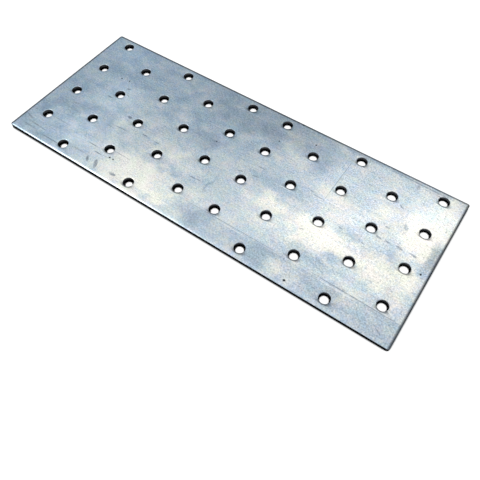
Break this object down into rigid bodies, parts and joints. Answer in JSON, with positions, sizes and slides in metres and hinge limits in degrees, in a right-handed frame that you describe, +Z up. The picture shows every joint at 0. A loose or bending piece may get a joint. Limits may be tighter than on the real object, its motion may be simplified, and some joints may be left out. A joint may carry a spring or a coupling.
{
  "type": "mending plate",
  "caption": "Flat rectangular perforated steel mending plate with staggered round nail holes, for joining timbers laid edge to edge or end to end.",
  "frame": {"origin": "middle of the underside", "axes": "+X along the plate's length, +Y across it towards the far long edge of the picture, +Z up through the face that the punches went in by"},
  "size_m": [0.2, 0.08, 0.002],
  "materials": {
    "galvanised_steel": "hot-dip zinc coating on strip, satin with faint mottling; sheared and punched edges darker"
  },
  "bodies": {
    "root": {"mending_plate": "galvanised_steel"}
  },
  "joints": []
}
